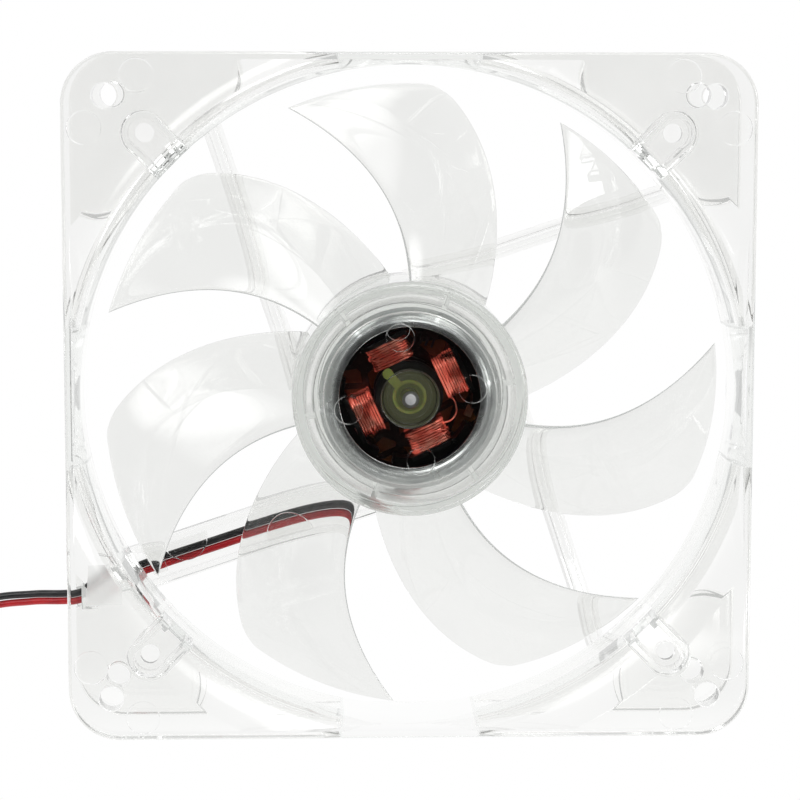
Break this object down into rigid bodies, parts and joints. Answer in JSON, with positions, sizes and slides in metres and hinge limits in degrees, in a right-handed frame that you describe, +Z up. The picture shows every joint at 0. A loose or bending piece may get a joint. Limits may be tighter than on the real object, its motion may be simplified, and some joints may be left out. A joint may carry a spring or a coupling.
{
  "type": "case fan",
  "caption": "Clear axial case fan: square flared duct, tangential struts with a cable channel, forward-swept impeller on a sleeve-bearing motor, and a short power lead with a crimp plug.",
  "frame": {"origin": "centre of the exhaust-side mounting face, on the rotor axis", "axes": "+Z up, the fan standing on its bottom edge; the rotor turns about Y; the intake side faces -Y and air leaves towards +Y; the lead leaves on the -X side"},
  "size_m": [0.1724, 0.025, 0.12],
  "materials": {
    "clear_frame": "clear, polished",
    "clear_rotor": "clear, polished",
    "bronze": "sintered, oiled",
    "nylon": "translucent yellow-green",
    "washer_nylon": "natural",
    "plug_rubber": "matt",
    "label_film": "blank silver-grey film",
    "lamination_steel": "dark, stacked sheets",
    "insulator_plastic": "black",
    "copper_wire": "enamelled wire",
    "tinned_metal": "tinned",
    "board_laminate": "phenolic board",
    "component_body": "moulded epoxy",
    "chip_ceramic": "ceramic",
    "solder": "bright",
    "black_pvc": "soft satin",
    "red_pvc": "soft satin",
    "connector_plastic": "moulded",
    "zinc_steel": "zinc plated",
    "magnet_ferrite": "bonded ferrite",
    "shaft_steel": "ground"
  },
  "bodies": {
    "frame": {"frame": "clear_frame", "bearing_sleeve": "bronze", "oil_seal": "nylon", "thrust_washer": "washer_nylon", "rear_plug": "plug_rubber", "rear_label": "label_film", "stator_core": "lamination_steel", "front_insulator": "insulator_plastic", "rear_insulator": "insulator_plastic", "coil_1": "copper_wire", "coil_2": "copper_wire", "coil_3": "copper_wire", "coil_4": "copper_wire", "winding_pins": "tinned_metal", "circuit_board": "board_laminate", "driver_ic": "component_body", "diode": "component_body", "chip_capacitor": "chip_ceramic", "solder_joints": "solder", "black_wire": "black_pvc", "red_wire": "red_pvc", "connector_housing": "connector_plastic", "connector_contacts": "tinned_metal"},
    "rotor": {"impeller": "clear_rotor", "yoke_ring": "zinc_steel", "magnet_ring": "magnet_ferrite", "shaft": "shaft_steel", "retaining_clip": "nylon"}
  },
  "joints": [
    {"name": "rotor_spin", "type": "hinge", "parent": "frame", "child": "rotor", "pos_m": [0, -0.0125, 0], "axis": [0, -1, 0], "continuous": true}
  ]
}
